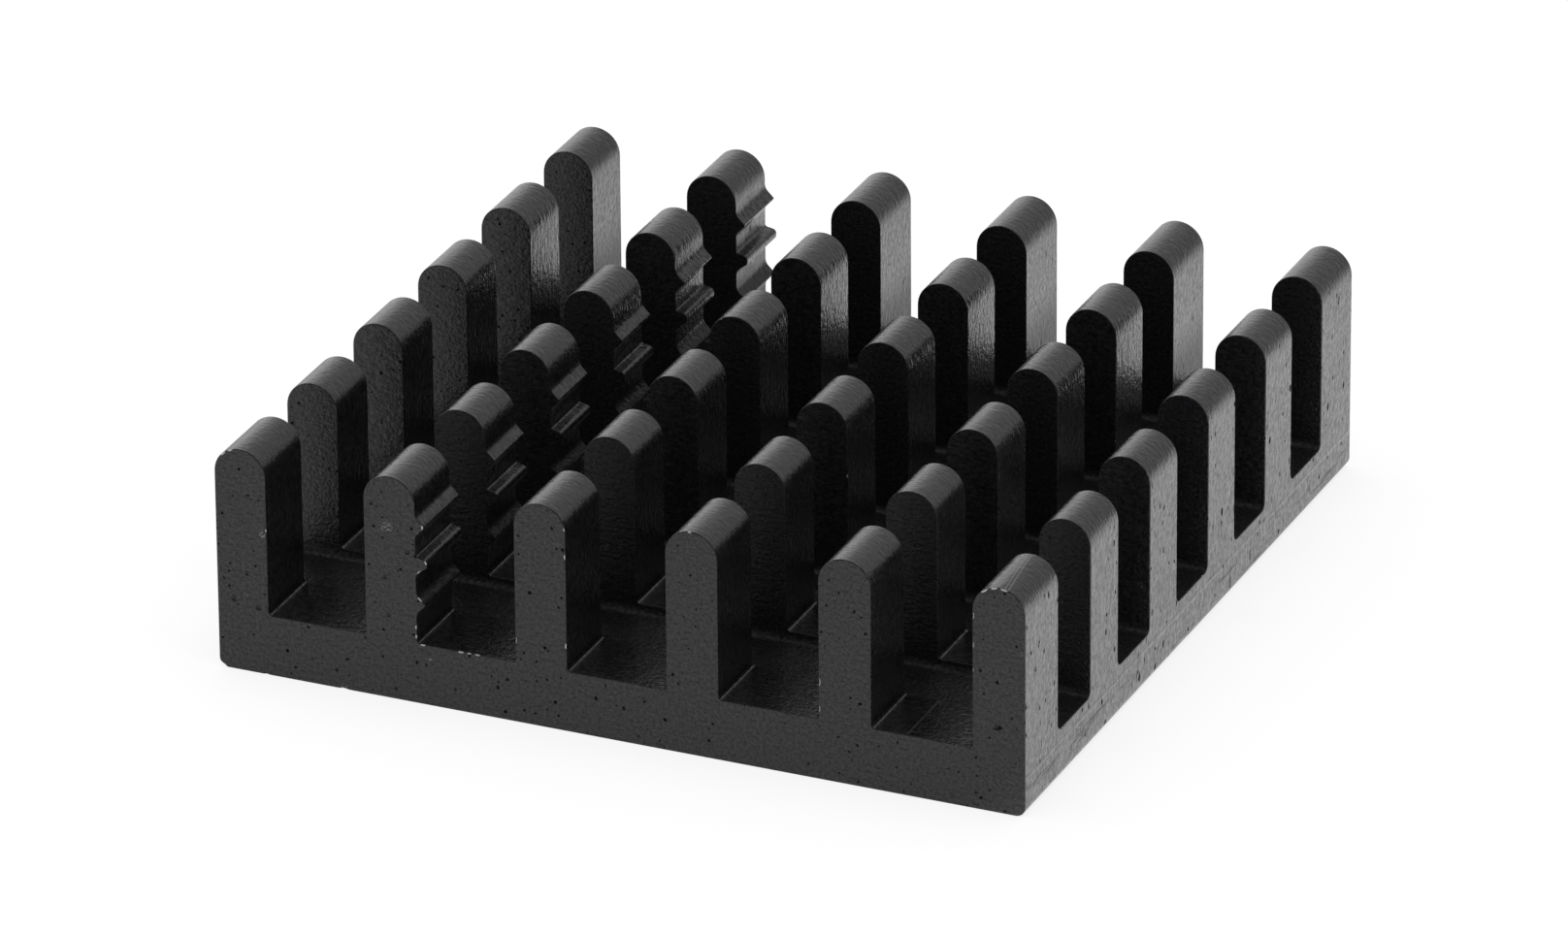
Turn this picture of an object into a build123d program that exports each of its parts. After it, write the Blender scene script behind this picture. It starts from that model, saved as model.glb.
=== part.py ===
"""Pin-fin heat sink: one piece of black anodised aluminium.

A profile with a flat base and six upright fins is extruded front to back, and five saw cuts across
it turn each fin into a row of six pins. The frame's origin is the centre of the underside: X runs
across the fins, Y along the extrusion, and Z up to the rounded pin tops.
"""
from build123d import *
import os

# Driving dimensions of the extruded profile, in millimetres
fin_count = 6
fin_thickness = 1.6
channel_width = 3.08
height = 7.0
base_thickness = 1.9
channel_root_radius = 0.2
base_corner_radius = 0.3

# Ridges along the right wall of one fin: pointed ones, with a taller blunt one between them
ridged_fin = 2
ridge_pitch = 1.22
ridge_below_shoulder = 0.63
ridge_flank = 0.28
ridge_root_radius = 0.45
pointed_ridge_height = 0.28
pointed_ridge_tip = 0.05
blunt_ridge_height = 0.36
blunt_ridge_tip = 0.16

# Pins left by the saw cuts, front to back: the two end rows are longer than those between them
pin_rows = 6
pin_length = 2.05
end_pin_length = 2.4
cut_width = 2.4
cut_below_channels = 0.3
cut_root_radius = 0.25

# Sizes that follow from them
fin_pitch = fin_thickness + channel_width
width = fin_count * fin_thickness + (fin_count - 1) * channel_width
shoulder_height = height - fin_thickness / 2
cut_count = pin_rows - 1
cut_pitch = pin_length + cut_width
length = 2 * end_pin_length + (cut_count - 1) * pin_length + cut_count * cut_width
cut_floor_height = base_thickness - cut_below_channels
ridge_wall_x = -width / 2 + (ridged_fin - 1) * fin_pitch + fin_thickness
top_ridge_height = shoulder_height - ridge_below_shoulder
ridge_run = top_ridge_height - base_thickness - channel_root_radius - 2 * ridge_flank
ridge_count = int(ridge_run / ridge_pitch) + 1


def ridge_section(tip_height, tip_width):
    """One ridge standing out of the wall by tip_height, its root reaching back into the fin."""
    foot = ridge_flank + tip_width / 2
    Polygon(
        (-fin_thickness / 2, -foot),
        (0, -foot),
        (tip_height, -tip_width / 2),
        (tip_height, tip_width / 2),
        (0, foot),
        (-fin_thickness / 2, foot),
        align=None,
    )


with BuildPart() as heat_sink:
    # The extruded profile, seen from the front
    with BuildSketch(Plane.XZ) as profile:
        Rectangle(width, base_thickness, align=(Align.CENTER, Align.MIN))
        with GridLocations(fin_pitch, 0, fin_count, 1):
            Rectangle(fin_thickness, shoulder_height, align=(Align.CENTER, Align.MIN))
            with Locations((0, shoulder_height)):
                Circle(fin_thickness / 2)
        # Bottom corners of the base, and the inner corners where the fins leave it
        fillet(profile.vertices().group_by(Axis.Y)[1], radius=channel_root_radius)
        fillet(profile.vertices().group_by(Axis.Y)[0], radius=base_corner_radius)
        # Ridges, with wide hollow roots that run into the wall
        for index in range(ridge_count):
            with Locations((ridge_wall_x, top_ridge_height - index * ridge_pitch)):
                if index % 2:
                    ridge_section(blunt_ridge_height, blunt_ridge_tip)
                else:
                    ridge_section(pointed_ridge_height, pointed_ridge_tip)
        wall_corners = profile.vertices().filter_by_position(Axis.X, ridge_wall_x, ridge_wall_x)
        ridge_roots = wall_corners.filter_by_position(
            Axis.Y, base_thickness + channel_root_radius, shoulder_height, inclusive=(False, False)
        )
        fillet(ridge_roots, radius=ridge_root_radius)
    extrude(amount=length / 2, both=True)

    # Saw cuts across all the fins, a little deeper than the channels between them
    with BuildSketch(Plane.YZ) as cuts:
        with Locations((0, cut_floor_height)):
            with GridLocations(cut_pitch, 0, cut_count, 1):
                Rectangle(cut_width, height, align=(Align.CENTER, Align.MIN))
        fillet(cuts.vertices().group_by(Axis.Y)[0], radius=cut_root_radius)
    extrude(amount=width, both=True, mode=Mode.SUBTRACT)

heat_sink.part.label = "heat_sink"

os.makedirs("parts", exist_ok=True)
export_step(heat_sink.part, "parts/heat_sink.step")
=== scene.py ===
"""Pin-fin heat sink in black anodised aluminium: its surface, its finishes and the studio round it.

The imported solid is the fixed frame. One closed surface with the same sizes takes its place: the
extruded profile carried along Y, the troughs of the saw cuts carried along X, and the flat sawn
faces between them, all with finely broken edges. Sizes in the code are millimetres, in the frame of
the part: origin at the centre of the underside, X across the fins, Y to the back, Z up.
"""
import math
from typing import NamedTuple

import bmesh
import bpy
import numpy as np
from bpy.props import FloatProperty, IntProperty, PointerProperty, StringProperty
from mathutils import Matrix, Vector


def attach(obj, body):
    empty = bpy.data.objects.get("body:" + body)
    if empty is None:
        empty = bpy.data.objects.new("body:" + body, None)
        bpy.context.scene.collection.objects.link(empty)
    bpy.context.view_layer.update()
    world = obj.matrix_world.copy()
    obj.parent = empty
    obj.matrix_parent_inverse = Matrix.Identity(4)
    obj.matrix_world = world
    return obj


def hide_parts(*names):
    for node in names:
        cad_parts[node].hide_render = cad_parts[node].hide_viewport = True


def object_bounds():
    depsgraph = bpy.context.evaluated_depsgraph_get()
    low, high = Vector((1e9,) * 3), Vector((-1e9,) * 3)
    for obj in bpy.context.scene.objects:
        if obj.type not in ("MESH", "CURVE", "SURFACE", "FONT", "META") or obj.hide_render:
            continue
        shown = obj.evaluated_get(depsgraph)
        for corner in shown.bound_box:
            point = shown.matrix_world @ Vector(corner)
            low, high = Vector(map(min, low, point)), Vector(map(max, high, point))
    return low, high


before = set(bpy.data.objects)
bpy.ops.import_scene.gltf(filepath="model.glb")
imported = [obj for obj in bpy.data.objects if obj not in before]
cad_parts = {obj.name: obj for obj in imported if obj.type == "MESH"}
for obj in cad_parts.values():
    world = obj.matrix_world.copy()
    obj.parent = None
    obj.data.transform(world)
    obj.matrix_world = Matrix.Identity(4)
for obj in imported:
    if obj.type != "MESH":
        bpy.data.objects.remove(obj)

bl_info = {
    "name": "Pin-fin heat sink",
    "version": (1, 0, 0),
    "blender": (4, 5, 0),
    "location": "View3D > Sidebar > Heat sink",
    "description": "Builds a pin-fin heat sink in black anodised aluminium on a white stage",
    "category": "Add Mesh",
}

CAD_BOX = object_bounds()
MM = 0.001
PHOTO_WIDTH, PHOTO_HEIGHT = 1616, 964
SENSOR = 36.0

# Outer sizes of the solid, in millimetres
WIDTH, LENGTH, HEIGHT = ((CAD_BOX[1] - CAD_BOX[0]) / MM)[:]

# Nicks in the sawn edges of the front face that show bare metal, by their place in the photograph
FRONT_NICKS = {
    "first ridge tip": (438, 545, 0.14),
    "second ridge tip": (442, 580, 0.14),
    "fin 1 top left": (229, 467, 0.10),
    "fin 1 top": (236, 463, 0.08),
    "fin 1 right edge": (273, 547, 0.07),
    "fin 3 right edge, upper": (580, 547, 0.08),
    "fin 3 right edge": (583, 575, 0.07),
    "fin 3 right edge, low": (584, 667, 0.08),
    "fin 3 left edge, low": (533, 660, 0.12),
    "fin 5 top": (890, 581, 0.10),
    "fin 4 top": (710, 549, 0.06),
    "fin 5 top left": (865, 579, 0.07),
    "fin 5 left edge, upper": (843, 703, 0.12),
    "fin 5 left edge, low": (843, 731, 0.09),
    "fin 6 top left": (1014, 609, 0.12),
    "fin 6 top": (1024, 606, 0.10),
    "fin 6 top right": (1035, 608, 0.10),
    "fin 6 left edge, upper": (1003, 635, 0.10),
    "fin 6 left edge": (1003, 665, 0.08),
    "fin 6 left edge, low": (1005, 691, 0.12),
    "ridge 1, below": (432, 552, 0.06),
    "ridge 2, below": (432, 591, 0.06),
    "ridge 3, above": (433, 618, 0.06),
    "below the ridges": (429, 647, 0.07),
    "foot of the ridged wall": (429, 656, 0.06),
    "second channel root": (436, 664, 0.08),
    "second channel floor, left": (475, 672, 0.07),
    "second channel floor": (483, 674, 0.06),
    "second channel floor, right": (492, 675, 0.05),
    "bottom left corner": (229, 687, 0.16),
    "bottom edge, left": (275, 697, 0.10),
    "bottom edge": (354, 709, 0.14),
    "bottom edge, right": (381, 711, 0.07),
}

# Scuffs on the front face that show metal, and its larger pits, by place in the photograph and mm across
FRONT_SCUFFS = {
    "fin 1, upper": (271, 551, 0.30),
    "fin 1, low": (253, 613, 0.14),
    "fin 2": (398, 543, 0.40),
    "fin 5": (984, 767, 0.16),
    "fin 6": (1052, 675, 0.16),
    "base": (444, 681, 0.14),
    "bottom left corner": (231, 685, 0.24),
    "bottom edge": (355, 708, 0.22),
}
FRONT_PITS = {
    "fin 1, right": (255, 591, 0.15),
    "fin 1, left": (242, 616, 0.24),
    "fin 1, low": (267, 626, 0.22),
    "fin 2": (397, 594, 0.16),
    "fin 2, right": (420, 569, 0.18),
    "fin 2, low": (401, 634, 0.14),
    "base, first": (322, 679, 0.11),
    "base, second": (347, 690, 0.13),
    "base, third": (409, 709, 0.13),
    "fin 6": (1028, 749, 0.24),
    "base, last but one": (1006, 816, 0.14),
    "base, last": (1020, 814, 0.12),
}

# Larger pits of the right face, which are longer than wide, by place in the photograph and mm across
RIGHT_PITS = {
    "pin 1, high": (1083, 642, 0.07),
    "pin 1, low": (1078, 715, 0.07),
    "below pin 1": (1072, 745, 0.09),
    "foot of pin 1": (1073, 766, 0.10),
    "base, near, left": (1072, 785, 0.07),
    "base, near": (1091, 779, 0.09),
    "base, near, right": (1104, 770, 0.07),
    "base below cut 1": (1110, 753, 0.07),
    "pin 2, high": (1144, 569, 0.08),
    "pin 2, low, left": (1129, 641, 0.08),
    "pin 2, low, middle": (1140, 641, 0.08),
    "pin 2, low, right": (1149, 630, 0.10),
    "base below pin 2, first": (1181, 660, 0.10),
    "base below pin 2, second": (1173, 676, 0.12),
    "base below pin 2, third": (1171, 699, 0.14),
    "base below pin 2, last": (1166, 706, 0.10),
    "chip in the lower edge": (1267, 602, 0.24),
    "pin 3": (1189, 516, 0.08),
    "pin 3, low": (1189, 536, 0.08),
    "pin 4": (1271, 523, 0.10),
    "pin 4, upper": (1271, 488, 0.08),
    "foot of pin 4": (1259, 552, 0.08),
    "foot of pin 4, right": (1263, 554, 0.07),
    "base below cut 3": (1288, 572, 0.16),
    "base below pin 5": (1322, 537, 0.08),
    "pin 6": (1364, 427, 0.08),
    "pin 6, lower": (1367, 436, 0.09),
}

# Faint die lines along two channel floors, by their place along X in millimetres
FLOOR_LINES = {"fourth channel": 5.07, "fifth channel": 8.9}

# The camera's place, fitted to the edges of the object in the photograph
AIM = Vector((-0.330, 0.127, 3.0)) * MM
AZIMUTH, ELEVATION, ROLL = (math.radians(angle) for angle in (23.713, 25.306, 0.429))
DISTANCE = 375.72 * MM
LENS = 297.08

# Height of the channel floors, and how far out along X a point counts as on a side wall, in mm
CHANNEL_FLOOR = 1.9
SIDE = WIDTH / 2 - 0.05

# The finishes, by their place in the mesh's list of materials
EXTRUDED, SAWN, EDGE = 0, 1, 2

# Steps of the surface, in mm: along the front row's profile, along the others, round the tops, down
# the ridged wall, and beside each sawn face
FRONT_STEP = 0.07
PROFILE_STEP = 0.2
TOP_STEP = 0.11
RIDGE_STEP = 0.1
FACE_STRIP = 0.15

# Points on the small arcs of the upper profile, on the other arcs and across the underside
ROOT_POINTS = 7
ARC_POINTS = 9
UNDERSIDE_POINTS = 245

# Points nearer than this are one point, and points this near to a level lie on it, in mm
SEAM_DISTANCE = 0.002
LEVEL_DISTANCE = 0.01

# The pointed ridges, in mm: how far they stand out, and the width and the radius of the tip
POINTED_HEIGHT = 0.28
POINTED_TIP = 0.05
POINTED_TIP_RADIUS = 0.055

# Corners of the blunt ridge, in mm: out of the wall, up from its middle, and the radius of the corner
BLUNT_RIDGE = {
    "upper root": (0.0, 0.22, 0.09),
    "upper corner": (0.37, 0.15, 0.17),
    "lower corner": (0.35, -0.09, 0.05),
    "lower root": (0.0, -0.36, 0.3),
}

# Depth of a nick as a share of its size, and how far behind the front face it fades out, in mm
NICK_DEPTH = 0.25
NICK_REACH = 0.2

# Points this near to the back plane belong to the back cut, in mm
BACK_REACH = 0.2

# Edges that turn by more than these angles are shaded sharp, and are broken
SHARP_ANGLE = math.radians(32)
BROKEN_ANGLE = math.radians(60)

# Size of the cells that hold one large or one small random pit each, in mm
LARGE_PIT_SPACING = 0.66
SMALL_PIT_SPACING = 0.37

# The die line low on the right wall, and the middle of the rubbed band below it: heights in mm
DIE_LINE_HEIGHT = 1.2
RUBBED_HEIGHT = 0.75

# The double scratch on the last fin, in mm: where along X it starts, its drift to the left for each
# mm of its way back, the gap between its lines, and its length along Y
SCRATCH_X = 11.92
SCRATCH_DRIFT = 0.108
SCRATCH_GAP = 0.1
SCRATCH_LENGTH = 2.3

# Bare metal in the marks, relief of the die line and of random pits, and dullness of larger pits,
# which is painted shade in them
SCRATCH_BARE = 0.16
FLOOR_LINE_BARE = 0.03
SCUFF_BARE = 0.3
DIE_LINE_RELIEF = 0.5
PIT_RELIEF = 0.6
PIT_PAINTED_SHADE = 0.65

# How metallic a burr and a pit are, and how rough a pit is inside; a pit's metal over its dark
# colour is painted shade, so that it reflects almost nothing
BURR_METAL = 0.4
PIT_SHADE_METAL = 0.6
PIT_ROUGHNESS = 0.8

# Gloss that the channel and cut floors keep under the painted shade of the inner walls, and gloss
# of a skin with no open grain
FLOOR_GLOSS = 0.8
EVEN_GLOSS = 0.82

# How brightly the fully lit paper shines
PAPER_STRENGTH = 0.78


def camera_axes():
    """Right, down and forward of the camera as unit vectors, from its azimuth, elevation and roll."""
    forward = np.array([
        -math.sin(AZIMUTH) * math.cos(ELEVATION),
        math.cos(AZIMUTH) * math.cos(ELEVATION),
        -math.sin(ELEVATION),
    ])
    level = np.array([math.cos(AZIMUTH), math.sin(AZIMUTH), 0.0])
    down = np.cross(forward, level)
    right = math.cos(ROLL) * level + math.sin(ROLL) * down
    return right, math.cos(ROLL) * down - math.sin(ROLL) * level, forward


def on_face(pixels, axis, offset):
    """Points, in millimetres, of a flat face that the camera sees at these photo pixels.

    The ray through a pixel is forward times the lens in pixels, plus right and down times the
    pixel's distance from the centre; it is followed to the plane where this axis is offset.
    """
    right, down, forward = camera_axes()
    eye = np.array(AIM) / MM - forward * DISTANCE / MM
    pixels = np.asarray(pixels, float)
    across = pixels[:, :1] - PHOTO_WIDTH / 2
    below = pixels[:, 1:2] - PHOTO_HEIGHT / 2
    rays = forward * (LENS / SENSOR * PHOTO_WIDTH) + right * across + down * below
    return eye + rays * ((offset - eye[axis]) / rays[:, axis:axis + 1])


def colour(text):
    """An sRGB hex colour as linear red, green, blue and a full alpha."""
    parts = np.array([int(text[i:i + 2], 16) for i in (1, 3, 5)]) / 255
    linear = np.where(parts <= 0.04045, parts / 12.92, ((parts + 0.055) / 1.055) ** 2.4)
    return (*linear.tolist(), 1.0)


def add(tree, kind, sockets=None, **settings):
    """Adds a shader node of this kind with its settings.

    A socket's value is a number, a colour, an output to link or a node whose first output is linked.
    """
    made = tree.nodes.new("ShaderNode" + kind)
    for name, value in settings.items():
        setattr(made, name, value)
    for socket, value in (sockets or {}).items():
        if isinstance(value, bpy.types.Node):
            value = value.outputs[0]
        if isinstance(value, bpy.types.NodeSocket):
            tree.links.new(value, made.inputs[socket])
        else:
            made.inputs[socket].default_value = value
    return made


def cleared_tree(owner):
    """The empty node tree of a material or of the world."""
    owner.use_nodes = True
    owner.node_tree.nodes.clear()
    return owner.node_tree


class HeatSinkShape(bpy.types.PropertyGroup):
    """Sizes of the extruded profile and of the saw cuts."""

    fin_count: IntProperty(name="Fins", description="Fins side by side", default=6, min=2)
    fin_thickness: FloatProperty(name="Fin thickness", description="Thickness of a fin, in mm", default=1.6)
    base_thickness: FloatProperty(
        name="Base thickness", description="From the underside to the channel floor, in mm",
        default=CHANNEL_FLOOR)
    channel_root_radius: FloatProperty(
        name="Channel root radius", description="Inner corners beside the fins, in mm", default=0.13)
    right_root_radius: FloatProperty(
        name="Right root radius", description="The same at the right of each channel, in mm", default=0.08)
    base_corner_radius: FloatProperty(
        name="Base corner radius", description="Lower corners of the base, in mm", default=0.3)
    ridged_fin: IntProperty(
        name="Ridged fin", description="The fin with ridges on its right wall", default=2, min=1)
    ridge_pitch: FloatProperty(name="Ridge pitch", description="From ridge to ridge, in mm", default=1.22)
    ridge_below_shoulder: FloatProperty(
        name="Top ridge", description="Top ridge below the fin's shoulder, in mm", default=0.63)
    ridge_flank: FloatProperty(
        name="Ridge flank", description="Height of a ridge's sloping side, in mm", default=0.28)
    ridge_root_radius: FloatProperty(
        name="Ridge root radius", description="Hollow where a ridge leaves the wall, in mm", default=0.34)
    blunt_ridge_lift: FloatProperty(
        name="Blunt ridge lift", description="Blunt ridge above the middle of the others, in mm",
        default=0.06)
    pin_rows: IntProperty(name="Pin rows", description="Pins front to back", default=6, min=2)
    pin_length: FloatProperty(
        name="Pin length", description="Length along Y of an inner pin, in mm", default=2.05)
    cut_width: FloatProperty(name="Cut width", description="Width of a saw cut, in mm", default=2.4)
    cut_below_channels: FloatProperty(
        name="Cut depth", description="Cut floor below the channel floor, in mm", default=0.3)
    cut_root_radius: FloatProperty(
        name="Cut root radius", description="Lower corners of a saw cut, in mm", default=0.25)
    back_skew: FloatProperty(
        name="Back skew", description="How fast the back cut runs in towards the left", default=0.03)
    back_bend: FloatProperty(
        name="Back bend", description="Where along X the back cut starts to run in, in mm", default=0.3)
    edge_break: FloatProperty(
        name="Edge break", description="Rounding of the sawn edges, in mm", default=0.03)


class HeatSinkFinish(bpy.types.PropertyGroup):
    """Colours and gloss of the anodised skin."""

    skin: StringProperty(name="Skin", description="sRGB colour of the dyed oxide skin", default="#161618")
    # The pits' colour is painted shade: near black for the shade inside each hole
    pit_shade: StringProperty(name="Pit", description="sRGB colour inside the etching pits", default="#050505")
    bare: StringProperty(
        name="Bare metal", description="sRGB colour of bare aluminium in a nick", default="#c9cacc")
    skin_roughness: FloatProperty(
        name="Skin roughness", description="Roughness of the extruded walls", default=0.22,
        subtype="FACTOR", min=0, max=1)
    sawn_roughness: FloatProperty(
        name="Sawn roughness", description="Roughness of the sawn faces", default=0.29,
        subtype="FACTOR", min=0, max=1)


class HeatSinkStage(bpy.types.PropertyGroup):
    """Floor and light."""

    floor: StringProperty(name="Floor", description="sRGB colour of the floor", default="#f4f4f4")
    sky_level: FloatProperty(name="Sky level", description="Soft light from all round", default=0.85, min=0)
    floor_size: FloatProperty(
        name="Floor size", description="Side of the floor", default=1.2, unit="LENGTH")


def rounded(corners, radii, step):
    """A line through corners with an arc of its own radius at each, as points about step apart.

    The arc touches both sides at radius times the tangent of half the turn from the corner. It is
    drawn as the blend (1-t)^2, 2t(1-t), t^2 of its start, the corner and its end, which stays
    within a twentieth of its radius of a true arc here.
    """
    corners = np.asarray(corners, float)
    ways = np.diff(corners, axis=0)
    ways /= np.linalg.norm(ways, axis=1)[:, None]
    line = [corners[:1]]
    blend = np.linspace(0, 1, ROOT_POINTS)[:, None]
    for corner, radius, before, after in zip(corners[1:-1], radii, ways, ways[1:]):
        turn = math.acos(np.clip(before @ after, -1, 1))
        reach = radius * math.tan(turn / 2)
        start, end = corner - before * reach, corner + after * reach
        line.append((1 - blend) ** 2 * start + 2 * blend * (1 - blend) * corner + blend ** 2 * end)
    line = np.concatenate(line + [corners[-1:]])
    points = [
        np.linspace(a, b, max(int(np.linalg.norm(b - a) / step), 1), endpoint=False)
        for a, b in zip(line, line[1:])]
    return np.concatenate(points + [line[-1:]])


def ridged_wall(shape, top, bottom, step):
    """Points (out of the wall, z) of the ridged wall from top to bottom.

    Two ridges are pointed, with even flanks and wide hollow roots. The one between them is blunt:
    its upper side is a shelf that leaves the wall sharply, and its outer corner is rounded.
    """
    half_tip = POINTED_TIP / 2
    foot = half_tip + shape.ridge_flank
    pointed = [
        (0, foot, shape.ridge_root_radius),
        (POINTED_HEIGHT, half_tip, POINTED_TIP_RADIUS),
        (POINTED_HEIGHT, -half_tip, POINTED_TIP_RADIUS),
        (0, -foot, shape.ridge_root_radius),
    ]
    ridges = (pointed, 0), (BLUNT_RIDGE.values(), shape.blunt_ridge_lift), (pointed, 0)
    corners = []
    for index, (ridge, lift) in enumerate(ridges):
        middle = top - shape.ridge_below_shoulder - index * shape.ridge_pitch + lift
        corners += [(out, middle + up, radius) for out, up, radius in ridge]
    corners = np.array(corners)
    line = np.concatenate([[(0, top)], corners[:, :2], [(0, bottom)]])
    return rounded(line, corners[:, 2], step)


def upper_profile(shape, step):
    """Points (x, z) of the profile above the saw cuts' corners, from the left wall to the right one.

    Fin by fin: up the left wall, round the half-circle of the top, down the right wall, and then
    a quarter arc, the channel floor and a quarter arc to the next fin. Points lie about step apart.
    """
    half = shape.fin_thickness / 2
    shoulder = HEIGHT - half
    pitch = (WIDTH - shape.fin_thickness) / (shape.fin_count - 1)
    level = shape.base_thickness
    wide, tight = shape.channel_root_radius, shape.right_root_radius
    start = level - shape.cut_below_channels + shape.cut_root_radius
    top = np.linspace(math.pi, 0, int(math.pi * half / min(step, TOP_STEP)) + 1)
    turn = np.linspace(0, math.pi / 2, ROOT_POINTS)
    points = []
    for fin in range(shape.fin_count):
        middle = -WIDTH / 2 + half + fin * pitch
        left_foot = start if fin == 0 else level + tight
        right_foot = start if fin == shape.fin_count - 1 else level + wide
        rise = np.linspace(left_foot, shoulder, int((shoulder - left_foot) / step) + 1)[:-1]
        fall = np.linspace(shoulder, right_foot, int((shoulder - right_foot) / step) + 1)[1:]
        bulge = np.zeros_like(fall)
        if fin == shape.ridged_fin - 1:
            bulge, fall = ridged_wall(shape, shoulder, right_foot, min(step, RIDGE_STEP))[1:].T
        points += [
            np.column_stack([np.full_like(rise, middle - half), rise]),
            np.column_stack([middle + half * np.cos(top), shoulder + half * np.sin(top)]),
            np.column_stack([middle + half + bulge, fall]),
        ]
        if fin < shape.fin_count - 1:
            left, right = middle + half + wide, middle - half + pitch - tight
            floor = np.linspace(left, right, int((right - left) / step) + 1)[1:-1]
            down, up = turn[1:], turn[:-1]
            points += [
                np.column_stack([left - wide * np.cos(down), level + wide - wide * np.sin(down)]),
                np.column_stack([floor, np.full_like(floor, level)]),
                np.column_stack([right + tight * np.sin(up), level + tight - tight * np.cos(up)]),
            ]
    return np.concatenate(points)


def lower_profile(shape):
    """Points (x, z) of the base below the side walls: quarter arc, flat underside, quarter arc."""
    radius = shape.base_corner_radius
    turn = np.linspace(0, math.pi / 2, ARC_POINTS)
    side = WIDTH / 2 - radius
    flat = np.linspace(side, -side, UNDERSIDE_POINTS)[1:-1]
    right = np.column_stack([side + radius * np.cos(turn), radius - radius * np.sin(turn)])
    left = np.column_stack([-side - radius * np.sin(turn), radius - radius * np.cos(turn)])
    return np.concatenate([right, np.column_stack([flat, np.zeros_like(flat)]), left])


def trough_path(shape, near, far):
    """Points (y, z) of a saw cut's floor: quarter arc, flat floor, quarter arc."""
    radius = shape.cut_root_radius
    floor = shape.base_thickness - shape.cut_below_channels
    turn = np.linspace(0, math.pi / 2, ARC_POINTS)
    down = np.column_stack([near + radius - radius * np.cos(turn), floor + radius - radius * np.sin(turn)])
    up = np.column_stack([far - radius + radius * np.sin(turn), floor + radius - radius * np.cos(turn)])
    return np.concatenate([down, up])


def carried(profile, stations, along_y):
    """A profile carried along straight stations: vertex (i, j) is profile point i at station j.

    The profile lies in XZ and travels along Y, or lies in YZ and travels along X. Returns the
    vertices and the quads between neighbouring points and stations.
    """
    count, steps = len(profile), len(stations)
    first = np.repeat(profile[:, 0], steps)
    height = np.repeat(profile[:, 1], steps)
    along = np.tile(stations, count)
    points = np.column_stack([first, along, height] if along_y else [along, first, height])
    i, j = np.meshgrid(np.arange(count - 1), np.arange(steps - 1), indexing="ij")
    corner = (i * steps + j).ravel()
    return points, np.column_stack([corner, corner + 1, corner + steps + 1, corner + steps])


def placed(profile, y):
    """A profile's points (x, z) in the plane at this y."""
    return np.column_stack([profile[:, 0], np.full(len(profile), y), profile[:, 1]])


def outward(profile):
    """Unit normals (x, z) of a profile that runs with the metal on its right."""
    ways = np.gradient(profile, axis=0)
    return np.column_stack([-ways[:, 1], ways[:, 0]]) / np.linalg.norm(ways, axis=1)[:, None]


def dent(points, normals, front):
    """Presses the nicks of the front face into its edges, and returns how bare each point is.

    Depth falls from a share of the nick's size at its middle to nothing at its rim, as one minus
    the square of the distance, and fades out behind the face. The points move into the metal
    against the profile's normal, so the sawn face stays flat.
    """
    places = on_face([row[:2] for row in FRONT_NICKS.values()], 1, -LENGTH / 2)[:, [0, 2]]
    sizes = np.array([size for _, _, size in FRONT_NICKS.values()])
    gap = np.linalg.norm(points[:, None, [0, 2]] - places[None], axis=2) / sizes
    near_front = np.clip(1 - (points[:, 1] - front) / NICK_REACH, 0, 1)
    strength = np.clip(1 - gap ** 2, 0, 1)
    depth = NICK_DEPTH * (strength * sizes).max(axis=1) * near_front
    points[:, [0, 2]] -= normals * depth[:, None]
    return strength.max(axis=1) * near_front


def cut_back_skew(points, shape):
    """Moves the back ends inwards by the skew times a point's distance to the left of the bend.

    The last cut is square on the right of the bend, and runs in on its left.
    """
    at_back = points[:, 1] > LENGTH / 2 - BACK_REACH
    short = shape.back_skew * np.clip(shape.back_bend - points[:, 0], 0, None)
    points[:, 1] -= np.where(at_back, short, 0)


def nearest_on_level(profile, level, x):
    """Which point of the profile is nearest to x among those at this height."""
    elsewhere = np.abs(profile[:, 1] - level) >= LEVEL_DISTANCE
    return int(np.argmin(np.abs(profile[:, 0] - x) + np.where(elsewhere, WIDTH, 0)))


def back_outlines(shape, profile, rim, base):
    """The back face as two flat outlines that share a seam where the cut starts to run in."""
    under = placed(base, LENGTH / 2)
    above = nearest_on_level(profile, shape.base_thickness, shape.back_bend)
    below = nearest_on_level(base, 0, shape.back_bend)
    left = np.concatenate([rim[:above + 1], under[below:]])
    right = np.concatenate([rim[above:], under[:below + 1]])
    return left, right


def sawn_rows(shape):
    """Where the rows of pins start and end along Y, with even saw cuts about the middle between them."""
    cuts = shape.pin_rows - 1
    middles = (np.arange(cuts) - (cuts - 1) / 2) * (shape.pin_length + shape.cut_width)
    starts = np.concatenate([[-LENGTH / 2], middles + shape.cut_width / 2])
    ends = np.concatenate([middles - shape.cut_width / 2, [LENGTH / 2]])
    return starts, ends


class Patches:
    """The patches of one surface: points, faces, each face's finish and how bare each point is."""

    def __init__(self):
        self.points, self.faces, self.finishes, self.bare = [], [], [], []
        self.used = 0

    def keep(self, points, faces, finish, bare=None):
        """Adds a patch, whose faces number its own points from zero."""
        self.points.append(points)
        self.faces.extend((np.asarray(face) + self.used).tolist() for face in faces)
        self.finishes.extend([finish] * len(faces))
        self.bare.append(np.zeros(len(points)) if bare is None else bare)
        self.used += len(points)

    def flat(self, outline, finish, way=1, bare=None):
        """Adds one flat face round an outline, in its order or, with way -1, against it."""
        self.keep(outline, [np.arange(len(outline))[::way]], finish, bare)


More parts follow.
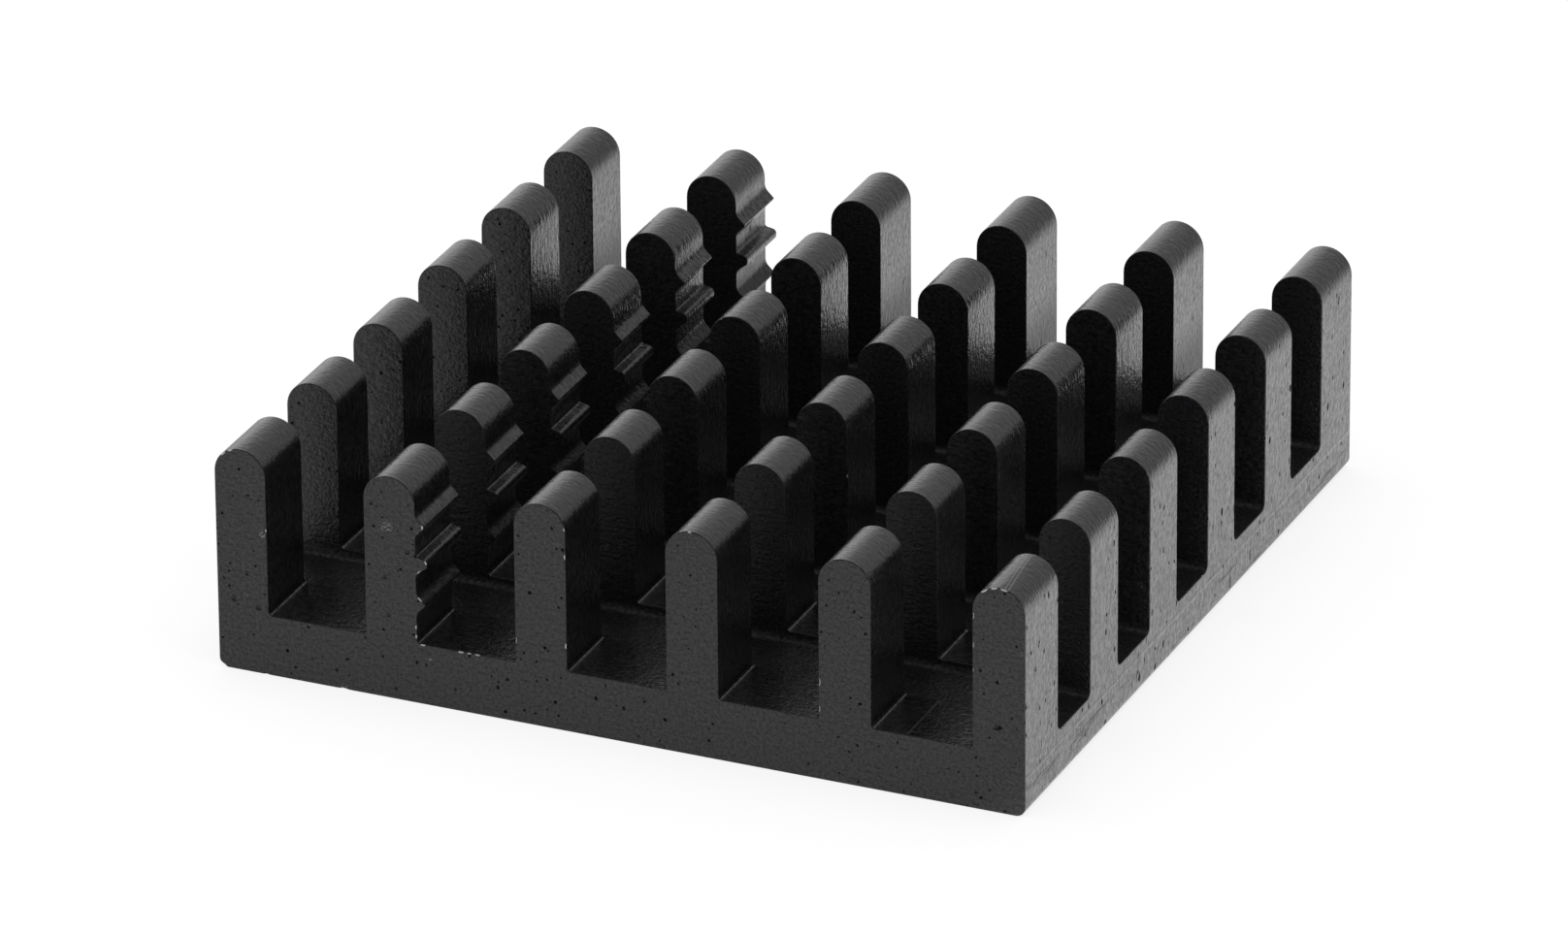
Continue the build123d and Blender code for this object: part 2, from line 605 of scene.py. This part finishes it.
def heat_sink_mesh(shape):
    """The closed surface of the heat sink as a mesh, joined from its carried profiles and flat faces."""
    starts, ends = sawn_rows(shape)
    base = lower_profile(shape)
    front_rim = placed(base, starts[0])
    front_marks = dent(front_rim, outward(base), starts[0])
    patches = Patches()
    walls = {-1: [], 1: []}
    for row, (near, far) in enumerate(zip(starts, ends)):
        profile = upper_profile(shape, PROFILE_STEP if row else FRONT_STEP)
        stations = np.array([near, near + FACE_STRIP, far - FACE_STRIP, far])
        surface, quads = carried(profile, stations, True)
        normals = np.repeat(outward(profile), len(stations), axis=0)
        marks = None if row else dent(surface, normals, near)
        patches.keep(surface, quads, EXTRUDED, marks)
        rim = surface.reshape(len(profile), len(stations), 3)
        if row == 0:
            edge_marks = np.concatenate([marks.reshape(len(profile), -1)[:, 0], front_marks])
            patches.flat(np.concatenate([rim[:, 0], front_rim]), SAWN, -1, edge_marks)
        else:
            patches.flat(rim[:, 0], SAWN, -1)
        for side, end in ((-1, 0), (1, -1)):
            walls[side].append(rim[end])
        if row == shape.pin_rows - 1:
            for outline in back_outlines(shape, profile, rim[:, -1], base):
                patches.flat(outline, SAWN)
        else:
            patches.flat(rim[:, -1], SAWN)
            trough = trough_path(shape, far, starts[row + 1])
            bed, quads = carried(trough, np.array([-WIDTH / 2, WIDTH / 2]), False)
            patches.keep(bed, quads[:, ::-1], SAWN)
            for side, end in ((-1, 0), (1, 1)):
                walls[side].append(bed.reshape(len(trough), 2, 3)[:, end])
    under, quads = carried(base, np.array([-LENGTH / 2, LENGTH / 2]), True)
    under.reshape(len(base), 2, 3)[:, 0] = front_rim
    patches.keep(under, quads, EXTRUDED)
    for side in (-1, 1):
        low = under.reshape(len(base), 2, 3)[0 if side > 0 else -1]
        outline = np.concatenate([low, np.concatenate(walls[side])[::-1]])
        patches.flat(outline, EXTRUDED, side)

    points = np.concatenate(patches.points)
    cut_back_skew(points, shape)
    mesh = bpy.data.meshes.new("heat_sink_body")
    mesh.from_pydata((points * MM).tolist(), [], patches.faces)
    mesh.polygons.foreach_set("material_index", patches.finishes)
    mesh.attributes.new("bare", "FLOAT", "POINT").data.foreach_set("value", np.concatenate(patches.bare))
    return mesh


def join_seams(mesh):
    """Merges the points that the surfaces share, and turns every face outwards."""
    work = bmesh.new()
    work.from_mesh(mesh)
    bmesh.ops.remove_doubles(work, verts=work.verts, dist=SEAM_DISTANCE * MM)
    bmesh.ops.recalc_face_normals(work, faces=work.faces)
    open_edges = sum(not edge.is_manifold for edge in work.edges)
    if open_edges:
        raise RuntimeError(f"{open_edges} open edges in the heat sink's surface")
    work.to_mesh(mesh)
    work.free()


class Look(NamedTuple):
    """What differs between the extruded skin and the sawn one, in millimetres and shares."""

    large_pit: float  # radius of the large random pits
    small_pit: float  # and of the small ones
    pit_squeeze: float  # width of a pit over its height
    etched_tops: float  # share of pits and open grain on the tops
    grain: float  # scale of the grain, per mm
    streaks: tuple  # and of the streaks along X, Y and Z
    relief: float  # depth of grain, streaks and marks
    painted_shade_height: float  # painted shade takes all gloss off the inner walls at this height
    unshaded_height: float  # and none of it is left at this one, with full gloss
    gloss: float  # which is this
    outer_left: float  # what lies further left is an outer face
    outer_ends: float  # as is what lies this near to front or back


EXTRUDED_LOOK = Look(
    large_pit=0.076, small_pit=0.05, pit_squeeze=0.5, etched_tops=0.3, grain=7.0, streaks=(3.0, 8.0, 3.0),
    relief=0.016, painted_shade_height=2.9, unshaded_height=4.7, gloss=1.0, outer_left=-SIDE, outer_ends=0.05)
SAWN_LOOK = Look(
    large_pit=0.066, small_pit=0.047, pit_squeeze=1.0, etched_tops=1.0, grain=10.0, streaks=(3.0, 3.0, 8.0),
    relief=0.027, painted_shade_height=4.6, unshaded_height=2.5, gloss=0.8, outer_left=-10.8, outer_ends=0.45)


def grain_coordinates(tree):
    """Object coordinates in millimetres, as one place and as its X, Y and Z."""
    metres = add(tree, "TexCoord").outputs["Object"]
    place = add(tree, "VectorMath", {0: metres, 1: (1000, 1000, 1000)}, operation="MULTIPLY")
    parts = add(tree, "SeparateXYZ", {0: place})
    return place, *(parts.outputs[axis] for axis in "XYZ")


def pit_mask(tree, place, spacing, radius):
    """One inside the etching pits and zero outside; each is a small ball round a random point."""
    wobble = add(tree, "TexNoise", {"Vector": place, "Scale": 9.0, "Detail": 1.0})
    bent = add(tree, "VectorMath", {0: wobble.outputs["Color"], 1: (0.09, 0.09, 0.09), 2: place},
               operation="MULTIPLY_ADD")
    cells = add(tree, "TexVoronoi", {"Vector": bent, "Scale": 1 / spacing})
    return add(tree, "MapRange", {
        "Value": cells.outputs["Distance"],
        "From Min": radius / spacing * 0.6, "From Max": radius / spacing, "To Min": 1.0, "To Max": 0.0})


def painted_depth_shade(tree, x, y, z, look):
    """Two masks: one where the skin keeps its gloss, and one on the outer faces.

    The gloss is full on the outer faces. On the inner walls it changes with height: the coat they lose
    is painted shade between the pins. It is high on the channel floors and in the saw cuts.
    """
    # Painted shade on the inner walls: their coat fades between these two heights
    wall = add(tree, "MapRange", {
        "Value": z, "From Min": look.painted_shade_height, "From Max": look.unshaded_height, "To Max": look.gloss},
        interpolation_type="SMOOTHSTEP")
    left = add(tree, "Math", {0: x, 1: look.outer_left}, operation="LESS_THAN")
    right = add(tree, "Math", {0: x, 1: SIDE}, operation="GREATER_THAN")
    sides = add(tree, "Math", {0: left, 1: right}, operation="MAXIMUM")
    along = add(tree, "Math", {0: y}, operation="ABSOLUTE")
    ends = add(tree, "Math", {0: along, 1: LENGTH / 2 - look.outer_ends}, operation="GREATER_THAN")
    outer = add(tree, "Math", {0: sides, 1: ends}, operation="MAXIMUM")
    # The channel and cut floors keep most of their gloss, so less painted shade lies on them
    floor = add(tree, "Math", {0: z, 1: CHANNEL_FLOOR + 0.05}, operation="LESS_THAN")
    bottom = add(tree, "Math", {0: floor, 1: FLOOR_GLOSS}, operation="MULTIPLY")
    inner = add(tree, "Math", {0: wall, 1: bottom}, operation="MAXIMUM")
    gloss = add(tree, "Math", {0: inner, 1: outer}, operation="MAXIMUM")
    return gloss, outer


def band(tree, value, middle, half, soft):
    """One where value lies within half of middle, falling to zero over soft."""
    off = add(tree, "Math", {0: value, 1: middle}, operation="SUBTRACT")
    away = add(tree, "Math", {0: off}, operation="ABSOLUTE")
    return add(tree, "MapRange", {
        "Value": away, "From Min": half, "From Max": half + soft, "To Min": 1.0, "To Max": 0.0})


def spots(tree, place, table, axis, offset, squeeze=1.0):
    """One inside the marks of the table on a flat face, and zero elsewhere; the rims are soft.

    Heights are multiplied by squeeze, which makes a mark one over squeeze as tall as it is wide.
    """
    scale = (1.0, 1.0, squeeze)
    squeezed = add(tree, "VectorMath", {0: place, 1: scale}, operation="MULTIPLY")
    middles = on_face([row[:2] for row in table.values()], axis, offset) * scale
    found = 0.0
    for middle, (_, _, across) in zip(middles, table.values()):
        gap = add(tree, "VectorMath", {0: squeezed, 1: middle}, operation="DISTANCE")
        spot = add(tree, "MapRange", {
            "Value": gap.outputs["Value"], "From Min": across * 0.25, "From Max": across * 0.55,
            "To Min": 1.0, "To Max": 0.0})
        found = add(tree, "Math", {0: found, 1: spot}, operation="MAXIMUM")
    return found


def rubbed_streaks(tree, place, z):
    """Dull streaks along Y, low on the walls, in a band that fades at its upper and lower rim."""
    drawn = add(tree, "VectorMath", {0: place, 1: (1.0, 0.45, 6.0)}, operation="MULTIPLY")
    patches = add(tree, "TexNoise", {"Vector": drawn, "Scale": 1.0, "Detail": 3.0, "Roughness": 0.6})
    rubbed = add(tree, "MapRange", {"Value": patches.outputs["Fac"], "From Min": 0.57, "From Max": 0.67})
    low = band(tree, z, RUBBED_HEIGHT, half=0.35, soft=0.25)
    return add(tree, "Math", {0: rubbed, 1: low}, operation="MULTIPLY")


def double_scratch(tree, x, y, z):
    """Two fine scratches on top of the last fin's front pin, which drift to the left on their way back."""
    drifted = add(tree, "Math", {0: y, 1: SCRATCH_DRIFT, 2: x}, operation="MULTIPLY_ADD")
    aside = add(tree, "Math", {0: drifted, 1: SCRATCH_X - SCRATCH_DRIFT * LENGTH / 2}, operation="SUBTRACT")
    both = add(tree, "Math", {0: aside}, operation="ABSOLUTE")
    lines = band(tree, both, SCRATCH_GAP / 2, half=0.008, soft=0.02)
    pin = add(tree, "Math", {0: y, 1: SCRATCH_LENGTH - LENGTH / 2}, operation="LESS_THAN")
    crest = add(tree, "Math", {0: z, 1: HEIGHT - 0.2}, operation="GREATER_THAN")
    there = add(tree, "Math", {0: pin, 1: crest}, operation="MULTIPLY")
    return add(tree, "Math", {0: lines, 1: there}, operation="MULTIPLY")


def floor_lines(tree, x, z):
    """The die lines on two channel floors; the one in the fifth channel is twice as strong."""
    fourth, fifth = (band(tree, x, middle, half=0.015, soft=0.03) for middle in FLOOR_LINES.values())
    both = add(tree, "Math", {0: fifth, 1: 2.0, 2: fourth}, operation="MULTIPLY_ADD")
    floor = add(tree, "Math", {0: z, 1: CHANNEL_FLOOR + 0.03}, operation="LESS_THAN")
    return add(tree, "Math", {0: both, 1: floor}, operation="MULTIPLY")


def extrusion_marks(tree, place, x, y, z):
    """Marks of the extruded walls: relief, dull and bare masks.

    The right wall has larger pits, whose dullness is painted shade, a fine raised line along Y from
    the die, tinted pale as a painted highlight, and rubbed streaks below it. Two channel floors have
    fainter lines, and the last fin's front pin has a double scratch.
    """
    right = add(tree, "Math", {0: x, 1: SIDE}, operation="GREATER_THAN")
    level = band(tree, z, DIE_LINE_HEIGHT, half=0.02, soft=0.06)
    line = add(tree, "Math", {0: level, 1: right}, operation="MULTIPLY")
    raised = add(tree, "Math", {0: line, 1: DIE_LINE_RELIEF}, operation="MULTIPLY")
    pits = spots(tree, place, RIGHT_PITS, 0, WIDTH / 2, squeeze=0.4)
    relief = add(tree, "Math", {0: raised, 1: pits}, operation="SUBTRACT")
    streaks = add(tree, "Math", {0: rubbed_streaks(tree, place, z), 1: right}, operation="MULTIPLY")
    # The right wall's larger pits lose their gloss: painted shade in them
    faint = add(tree, "Math", {0: pits, 1: PIT_PAINTED_SHADE}, operation="MULTIPLY")
    dull = add(tree, "Math", {0: streaks, 1: faint}, operation="MAXIMUM")
    # The die line's pale tint is a painted highlight, growing towards the back
    worn = add(tree, "MapRange", {
        "Value": y, "From Min": -LENGTH / 2, "From Max": LENGTH / 2, "To Min": 0.03, "To Max": 0.14})
    bright = add(tree, "Math", {0: line, 1: worn}, operation="MULTIPLY")
    scratched = add(tree, "Math", {
        0: double_scratch(tree, x, y, z), 1: SCRATCH_BARE, 2: bright}, operation="MULTIPLY_ADD")
    bare = add(tree, "Math", {0: floor_lines(tree, x, z), 1: FLOOR_LINE_BARE, 2: scratched},
               operation="MULTIPLY_ADD")
    return relief, dull, bare


def sawn_marks(tree, place, *_):
    """Marks of the sawn faces: relief, dull and bare masks of the front face's scuffs and larger pits;
    the pits' dullness is painted shade.
    """
    pits = spots(tree, place, FRONT_PITS, 1, -LENGTH / 2)
    scuffs = spots(tree, place, FRONT_SCUFFS, 1, -LENGTH / 2)
    specks = add(tree, "TexNoise", {"Vector": place, "Scale": 14.0, "Detail": 1.0})
    broken = add(tree, "MapRange", {"Value": specks.outputs["Fac"], "From Min": 0.52, "From Max": 0.62})
    bare = add(tree, "Math", {0: scuffs, 1: broken}, operation="MULTIPLY")
    faint = add(tree, "Math", {0: bare, 1: SCUFF_BARE}, operation="MULTIPLY")
    relief = add(tree, "Math", {0: pits, 1: -1.0}, operation="MULTIPLY")
    return relief, pits, faint


def show_bare_metal(tree, shader, worn, finish):
    """Lets bare aluminium show through the skin where the mask worn is one; a burr is only part metal."""
    skin = shader.inputs["Base Color"].links[0].from_socket
    base = add(tree, "Mix", {0: worn, 6: skin, 7: colour(finish.bare)}, data_type="RGBA")
    tree.links.new(base.outputs[2], shader.inputs["Base Color"])
    before = shader.inputs["Metallic"].links[0].from_socket
    burr = add(tree, "Math", {0: worn, 1: BURR_METAL}, operation="MULTIPLY")
    metal = add(tree, "Math", {0: before, 1: burr}, operation="MAXIMUM")
    tree.links.new(metal.outputs[0], shader.inputs["Metallic"])


def random_pits(tree, place, look, outer, etched):
    """The random pits, large and small, which are fainter on the inner walls and on the rounded tops."""
    squeezed = add(tree, "VectorMath", {0: place, 1: (1.0, 1.0, look.pit_squeeze)}, operation="MULTIPLY")
    large = pit_mask(tree, squeezed, LARGE_PIT_SPACING, look.large_pit)
    small = pit_mask(tree, squeezed, SMALL_PIT_SPACING, look.small_pit)
    every = add(tree, "Math", {0: large, 1: small}, operation="MAXIMUM")
    inner = add(tree, "MapRange", {"Value": outer, "To Min": 0.35})
    depth = add(tree, "Math", {0: inner, 1: etched}, operation="MULTIPLY")
    return add(tree, "Math", {0: every, 1: depth}, operation="MULTIPLY")


def anodised(name, finish, look, level, marks):
    """The nodes that the anodised finishes share: level is the roughness, and marks makes the marks.

    A very dark base lies under a coat that fades where the grain is open, in pits, on dull marks and
    on the inner walls. In the pits and on the inner walls this is painted shade, and the pits are
    painted dark as well.
    """
    material = bpy.data.materials.new(name)
    tree = cleared_tree(material)
    place, x, y, z = grain_coordinates(tree)
    # gloss holds the painted shade of the inner walls
    gloss, outer = painted_depth_shade(tree, x, y, z, look)
    relief, dull, bare = marks(tree, place, x, y, z)
    # The etching is full on the walls, and less on the tops of the extruded skin
    etched = add(tree, "MapRange", {
        "Value": z, "From Min": 6.1, "From Max": 6.5, "To Min": 1.0, "To Max": look.etched_tops})
    pits = random_pits(tree, place, look, outer, etched)
    grain = add(tree, "TexNoise", {
        "Vector": place, "Scale": look.grain, "Detail": 3.0, "Roughness": 0.6}).outputs["Fac"]
    stretched = add(tree, "VectorMath", {0: place, 1: look.streaks}, operation="MULTIPLY")
    streaks = add(tree, "TexNoise", {
        "Vector": stretched, "Scale": 1.0, "Detail": 2.0, "Roughness": 0.6}).outputs["Fac"]

    # Relief of grain and streaks, with the pits and marks in it
    uneven = add(tree, "Math", {0: grain, 1: streaks}, operation="ADD")
    pitted = add(tree, "Math", {0: pits, 1: -PIT_RELIEF, 2: uneven}, operation="MULTIPLY_ADD")
    marked = add(tree, "Math", {0: pitted, 1: relief}, operation="ADD")
    bump = add(tree, "Bump", {"Height": marked, "Distance": look.relief * MM})

    # Colour: the dye is uneven from grain to grain, and a pit is painted dark and half metallic, painted
    # shade in the hole
    tone = add(tree, "MapRange", {
        "Value": grain, "From Min": 0.3, "From Max": 0.7, "To Min": 0.2, "To Max": 1.8})
    skin = add(tree, "VectorMath", {0: colour(finish.skin)[:3], "Scale": tone}, operation="SCALE")
    base = add(tree, "Mix", {0: pits, 6: skin, 7: colour(finish.pit_shade)}, data_type="RGBA")
    hollow = add(tree, "Math", {0: pits, 1: PIT_SHADE_METAL}, operation="MULTIPLY")

    # Gloss: rougher along some streaks and in the pits, and less coat where the grain is open; the coat
    # lost in the pits and on the inner walls is painted shade
    rough = add(tree, "MapRange", {
        "Value": streaks, "From Min": 0.3, "From Max": 0.7, "To Min": level - 0.05, "To Max": level + 0.05})
    roughness = add(tree, "Mix", {0: pits, 2: rough, 3: PIT_ROUGHNESS})
    dense = add(tree, "MapRange", {
        "Value": grain, "From Min": 0.35, "From Max": 0.6, "To Min": 0.35, "To Max": 1.0})
    seal = add(tree, "Mix", {0: etched, 2: EVEN_GLOSS, 3: dense})
    glossy = add(tree, "Math", {0: seal, 1: gloss}, operation="MULTIPLY")
    closed = add(tree, "Math", {0: glossy, 1: pits}, operation="SUBTRACT")
    coat = add(tree, "Math", {0: closed, 1: dull}, operation="SUBTRACT", use_clamp=True)

    shader = add(tree, "BsdfPrincipled", {
        "Base Color": base.outputs[2], "Metallic": hollow, "Roughness": roughness, "Normal": bump,
        "Coat Weight": coat, "Coat Roughness": level, "Coat IOR": 1.5, "Coat Normal": bump, "IOR": 1.5})
    add(tree, "OutputMaterial", {0: shader})
    show_bare_metal(tree, shader, bare, finish)
    return material, shader


def extruded_skin(finish):
    """Etched and black anodised extrusion: a satin oxide skin, finely grained, with long small pits."""
    return anodised(
        "black_anodised_extruded", finish, EXTRUDED_LOOK, finish.skin_roughness, extrusion_marks)[0]


def sawn_skin(finish):
    """Black anodised saw cut: rougher and more granular, with small round pits."""
    return anodised("black_anodised_sawn", finish, SAWN_LOOK, finish.sawn_roughness, sawn_marks)[0]


def worn_edge(finish):
    """Broken sawn edge: the sawn skin, worn through to bright aluminium in nicks and rare specks."""
    material, shader = anodised(
        "black_anodised_worn_edge", finish, SAWN_LOOK, finish.sawn_roughness, sawn_marks)
    tree = material.node_tree
    place = grain_coordinates(tree)[0]
    specks = add(tree, "TexNoise", {"Vector": place, "Scale": 4.0, "Detail": 3.0, "Roughness": 0.7})
    rare = add(tree, "MapRange", {"Value": specks.outputs["Fac"], "From Min": 0.69, "From Max": 0.74})
    nick = add(tree, "Attribute", attribute_name="bare", attribute_type="GEOMETRY")
    nicked = add(tree, "MapRange", {"Value": nick.outputs["Fac"], "From Min": 0.15, "From Max": 0.5})
    worn = add(tree, "Math", {0: rare, 1: nicked}, operation="MAXIMUM")
    show_bare_metal(tree, shader, worn, finish)
    return material


class HEATSINK_OT_body(bpy.types.Operator):
    """Build the heat sink's surface and its anodised finishes"""

    bl_idname = "heat_sink.body"
    bl_label = "Heat sink"

    def execute(self, context):
        shape = context.scene.heat_sink_shape
        finish = context.scene.heat_sink_finish
        mesh = heat_sink_mesh(shape)
        join_seams(mesh)
        mesh.polygons.foreach_set("use_smooth", np.ones(len(mesh.polygons), bool))
        mesh.set_sharp_from_angle(angle=SHARP_ANGLE)
        for material in (extruded_skin(finish), sawn_skin(finish), worn_edge(finish)):
            mesh.materials.append(material)
        body = bpy.data.objects.new("heat_sink_body", mesh)
        context.scene.collection.objects.link(body)
        # Sawn edges are broken all round; ridge tips and arcs turn by less and stay as they are
        rounding = body.modifiers.new("broken edges", "BEVEL")
        rounding.width = shape.edge_break * MM
        rounding.segments = 2
        rounding.limit_method = "ANGLE"
        rounding.angle_limit = BROKEN_ANGLE
        rounding.use_clamp_overlap = False
        rounding.harden_normals = True
        rounding.material = EDGE
        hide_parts("heat_sink")
        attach(body, "root")
        return {"FINISHED"}


class HEATSINK_OT_stage(bpy.types.Operator):
    """Build the white floor, the soft light and the camera"""

    bl_idname = "heat_sink.stage"
    bl_label = "Stage"

    def execute(self, context):
        settings = context.scene.heat_sink_stage
        build_floor(context, settings)
        build_world(context, settings)
        build_camera(context)
        context.scene.view_settings.view_transform = "Standard"
        return {"FINISHED"}


def seen_rays(tree):
    """Masks of the rays that meet the white backdrop, and of camera rays, and the backdrop's share.

    Camera, mirror and see-through rays meet the backdrop. A ray that was mirrored twice, down in a
    groove, meets a dimmer one: this is painted shade in the grooves.
    """
    path = add(tree, "LightPath")
    painted_groove_shade = add(tree, "MapRange", {
        "Value": path.outputs["Glossy Depth"], "From Min": 1.0, "From Max": 2.0,
        "To Min": 1.0, "To Max": 0.75})
    seen = add(tree, "Math", {0: path.outputs["Is Camera Ray"], 1: path.outputs["Is Glossy Ray"]},
               operation="MAXIMUM")
    both = add(tree, "Math", {0: seen, 1: path.outputs["Is Transmission Ray"]}, operation="MAXIMUM")
    return both, path.outputs["Is Camera Ray"], painted_groove_shade


def painted_paper_light(tree):
    """Painted light and shadow on the paper, as mirrors see it: more at the back right, and less far
    behind the object.

    A painted shadow also dims it close to the object's back.
    """
    _, x, y, _ = grain_coordinates(tree)
    across = add(tree, "Math", {0: x, 1: y}, operation="ADD")
    painted_lit_side = add(tree, "MapRange", {
        "Value": across, "From Min": -3.0, "From Max": 2.0, "To Min": 0.38, "To Max": 0.87},
        interpolation_type="SMOOTHSTEP")
    far = add(tree, "MapRange", {
        "Value": y, "From Min": 20.0, "From Max": 60.0, "To Min": 1.0, "To Max": 0.36})
    faded = add(tree, "Math", {0: painted_lit_side, 1: far}, operation="MULTIPLY")
    close = add(tree, "MapRange", {
        "Value": y, "From Min": LENGTH / 2, "From Max": LENGTH / 2 + 6, "To Min": 0.5, "To Max": 0.0})
    inward = add(tree, "Math", {0: x, 1: WIDTH / 2}, operation="LESS_THAN")
    past = add(tree, "Math", {0: y, 1: 0.0}, operation="GREATER_THAN")
    behind = add(tree, "Math", {0: inward, 1: past}, operation="MULTIPLY")
    painted_shadow = add(tree, "Math", {0: close, 1: behind}, operation="MULTIPLY")
    clear = add(tree, "Math", {0: 1.0, 1: painted_shadow}, operation="SUBTRACT")
    return add(tree, "Math", {0: faded, 1: clear}, operation="MULTIPLY")


def build_floor(context, settings):
    """A flat floor of white paper. The camera sees it white, with the object's shadow on it; mirrors see
    painted light and a painted shadow on it.
    """
    material = bpy.data.materials.new("white_paper_floor")
    tree = cleared_tree(material)
    seen, camera, painted_groove_shade = seen_rays(tree)
    level = add(tree, "Math", {0: painted_paper_light(tree), 1: painted_groove_shade}, operation="MULTIPLY")
    glow = add(tree, "Mix", {0: camera, 2: level, 3: 1.0})
    strength = add(tree, "Math", {0: glow, 1: PAPER_STRENGTH}, operation="MULTIPLY")
    paper = add(tree, "BsdfDiffuse", {"Color": colour(settings.floor)})
    shade = add(tree, "BsdfDiffuse", {"Color": (0.3, 0.3, 0.3, 1.0)})
    white = add(tree, "Emission", {"Strength": strength})
    backdrop = add(tree, "AddShader", {0: white, 1: shade})
    mixed = add(tree, "MixShader", {0: seen, 1: paper, 2: backdrop})
    add(tree, "OutputMaterial", {0: mixed})
    half = settings.floor_size / 2
    corners = [(-half, -half, 0), (half, -half, 0), (half, half, 0), (-half, half, 0)]
    mesh = bpy.data.meshes.new("floor")
    mesh.from_pydata(corners, [], [(0, 1, 2, 3)])
    mesh.materials.append(material)
    floor = bpy.data.objects.new("floor", mesh)
    context.scene.collection.objects.link(floor)


def painted_room_reflection(tree):
    """A painted reflection of a room, seen only in mirrors, by direction: brightest at the left, and dim
    in front. It lights nothing.
    """
    parts = add(tree, "SeparateXYZ", {0: add(tree, "TexCoord").outputs["Generated"]})
    x, y = (parts.outputs[axis] for axis in "XY")
    even = add(tree, "MapRange", {
        "Value": x, "From Min": -0.1, "From Max": 0.6, "To Min": 0.48, "To Max": 0.34})
    painted_window = add(tree, "MapRange", {"Value": x, "From Min": -0.15, "From Max": -0.6, "To Max": 0.45})
    side = add(tree, "Math", {0: even, 1: painted_window}, operation="ADD")
    back = add(tree, "MapRange", {"Value": y, "From Min": -0.4, "From Max": 0.7, "To Min": 0.12})
    return add(tree, "Math", {0: side, 1: back}, operation="MULTIPLY")


def build_world(context, settings):
    """Soft white light from all round, before a white backdrop that is dimmer in mirrors, where it is
    a painted reflection of a room.
    """
    world = bpy.data.worlds.new("soft_studio")
    tree = cleared_tree(world)
    seen, camera, painted_groove_shade = seen_rays(tree)
    shown = add(tree, "Math", {0: painted_room_reflection(tree), 1: painted_groove_shade}, operation="MULTIPLY")
    level = add(tree, "Mix", {0: camera, 2: shown, 3: 1.0})
    soft = add(tree, "Background", {"Color": (1, 1, 1, 1), "Strength": settings.sky_level})
    backdrop = add(tree, "Background", {"Color": (1, 1, 1, 1), "Strength": level})
    mixed = add(tree, "MixShader", {0: seen, 1: soft, 2: backdrop})
    add(tree, "OutputWorld", {0: mixed})
    context.scene.world = world


def build_camera(context):
    """The photograph's viewpoint: a long lens, from the front right and a little above."""
    right, down, forward = (Vector(axis) for axis in camera_axes())
    data = bpy.data.cameras.new("camera")
    data.sensor_width = SENSOR
    data.lens = LENS
    data.clip_start, data.clip_end = 0.01, 10.0
    camera = bpy.data.objects.new("camera", data)
    turn = Matrix((right, -down, -forward)).transposed().to_4x4()
    camera.matrix_world = Matrix.Translation(AIM - forward * DISTANCE) @ turn
    context.scene.collection.objects.link(camera)
    context.scene.camera = camera


class HEATSINK_PT_panel(bpy.types.Panel):
    """Lists the builders of the heat sink and of its stage"""

    bl_idname = "HEATSINK_PT_panel"
    bl_label = "Heat sink"
    bl_space_type = "VIEW_3D"
    bl_region_type = "UI"
    bl_category = "Heat sink"

    def draw(self, context):
        layout = self.layout
        layout.operator(HEATSINK_OT_body.bl_idname)
        layout.operator(HEATSINK_OT_stage.bl_idname)
        for settings in SETTINGS:
            group = getattr(context.scene, settings)
            for name in group.__annotations__:
                layout.prop(group, name)


# The scene's groups of settings by name, and all classes to register
SETTINGS = {
    "heat_sink_shape": HeatSinkShape,
    "heat_sink_finish": HeatSinkFinish,
    "heat_sink_stage": HeatSinkStage,
}
CLASSES = (*SETTINGS.values(), HEATSINK_OT_body, HEATSINK_OT_stage, HEATSINK_PT_panel)


def register():
    """Registers the classes and puts their settings on the scene."""
    for item in CLASSES:
        bpy.utils.register_class(item)
    for name, group in SETTINGS.items():
        setattr(bpy.types.Scene, name, PointerProperty(type=group))


def unregister():
    """Takes the settings off the scene and unregisters the classes."""
    for name in SETTINGS:
        delattr(bpy.types.Scene, name)
    for item in reversed(CLASSES):
        bpy.utils.unregister_class(item)


def main():
    """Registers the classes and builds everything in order."""
    register()
    bpy.ops.heat_sink.body()
    bpy.ops.heat_sink.stage()


if __name__ == "__main__":
    main()
